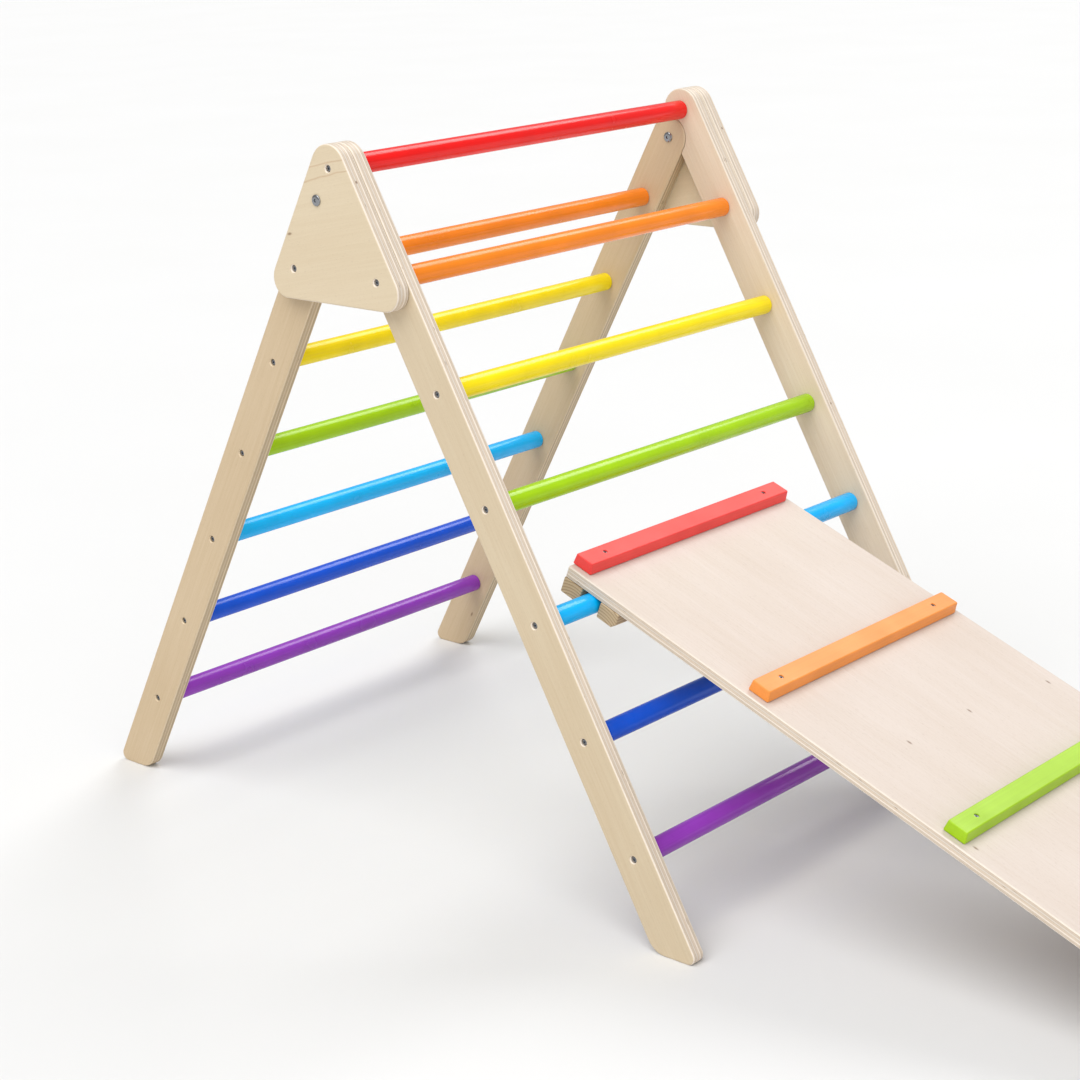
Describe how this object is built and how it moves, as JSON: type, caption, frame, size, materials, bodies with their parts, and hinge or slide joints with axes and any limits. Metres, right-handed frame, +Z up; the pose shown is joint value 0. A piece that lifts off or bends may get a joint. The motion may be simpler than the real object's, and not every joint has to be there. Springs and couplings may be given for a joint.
{
  "type": "climbing triangle with ramp",
  "caption": "Toddler climbing frame: two plywood ladders with painted rungs under side plates, and a plywood ramp with painted cleats hooked over a front rung.",
  "frame": {"origin": "on the floor, under the middle of the whole footprint", "axes": "+X from the rear ladder to the ramp, +Y along the rungs to the right seen from the ramp, +Z up"},
  "size_m": [1.6692, 0.6652, 0.8499],
  "materials": {
    "birch_plywood": "clear satin varnish",
    "pine": "bare, planed",
    "painted_red": "semi-gloss red paint",
    "painted_orange": "semi-gloss orange paint",
    "painted_yellow": "semi-gloss yellow paint",
    "painted_lime": "semi-gloss lime paint",
    "painted_light_blue": "semi-gloss light blue paint",
    "painted_blue": "semi-gloss blue paint",
    "painted_purple": "semi-gloss purple paint",
    "screw_steel": "dark plated",
    "pivot_steel": "zinc plated"
  },
  "bodies": {
    "frame": {"side_plate_left": "birch_plywood", "side_plate_right": "birch_plywood", "front_rail_left": "birch_plywood", "front_rail_right": "birch_plywood", "pivot_bolt_left": "pivot_steel", "pivot_bolt_right": "pivot_steel", "lock_screw_left": "screw_steel", "lock_screw_right": "screw_steel", "front_rung_1_red": "painted_red", "front_rung_2_orange": "painted_orange", "front_rung_3_yellow": "painted_yellow", "front_rung_4_lime": "painted_lime", "front_rung_6_blue": "painted_blue", "front_rung_7_purple": "painted_purple", "front_screw_1_left": "screw_steel", "front_screw_1_right": "screw_steel", "front_screw_2_left": "screw_steel", "front_screw_2_right": "screw_steel", "front_screw_3_left": "screw_steel", "front_screw_3_right": "screw_steel", "front_screw_4_left": "screw_steel", "front_screw_4_right": "screw_steel", "front_screw_5_left": "screw_steel", "front_screw_5_right": "screw_steel", "front_screw_6_left": "screw_steel", "front_screw_6_right": "screw_steel", "front_screw_7_left": "screw_steel", "front_screw_7_right": "screw_steel"},
    "rear_ladder": {"rear_rail_left": "birch_plywood", "rear_rail_right": "birch_plywood", "pivot_nut_left": "pivot_steel", "pivot_nut_right": "pivot_steel", "rear_rung_1_orange": "painted_orange", "rear_rung_2_yellow": "painted_yellow", "rear_rung_3_lime": "painted_lime", "rear_rung_4_light_blue": "painted_light_blue", "rear_rung_5_blue": "painted_blue", "rear_rung_6_purple": "painted_purple", "rear_screw_2_left": "screw_steel", "rear_screw_2_right": "screw_steel", "rear_screw_3_left": "screw_steel", "rear_screw_3_right": "screw_steel", "rear_screw_4_left": "screw_steel", "rear_screw_4_right": "screw_steel", "rear_screw_5_left": "screw_steel", "rear_screw_5_right": "screw_steel", "rear_screw_6_left": "screw_steel", "rear_screw_6_right": "screw_steel"},
    "ramp_rung": {"front_rung_5_light_blue": "painted_light_blue"},
    "ramp": {"ramp_board": "birch_plywood", "ramp_batten_upper": "pine", "ramp_batten_lower": "pine", "ramp_cleat_1_red": "painted_red", "ramp_cleat_2_orange": "painted_orange", "ramp_cleat_3_lime": "painted_lime", "ramp_cleat_4_light_blue": "painted_light_blue"}
  },
  "joints": [
    {"name": "rear_ladder_swing", "type": "hinge", "parent": "frame", "child": "rear_ladder", "pos_m": [-0.3712, 0, 0.78677], "axis": [0, 1, 0], "range_deg": [0, 45]},
    {"name": "ramp_tilt", "type": "hinge", "parent": "frame", "child": "ramp_rung", "pos_m": [-0.08309, 0, 0.34267], "axis": [0, -1, 0], "range_deg": [0, 25]},
    {"name": "ramp_lift", "type": "slide", "parent": "ramp_rung", "child": "ramp", "axis": [0.3657, 0, 0.9307], "range_m": [0, 0.15]}
  ]
}
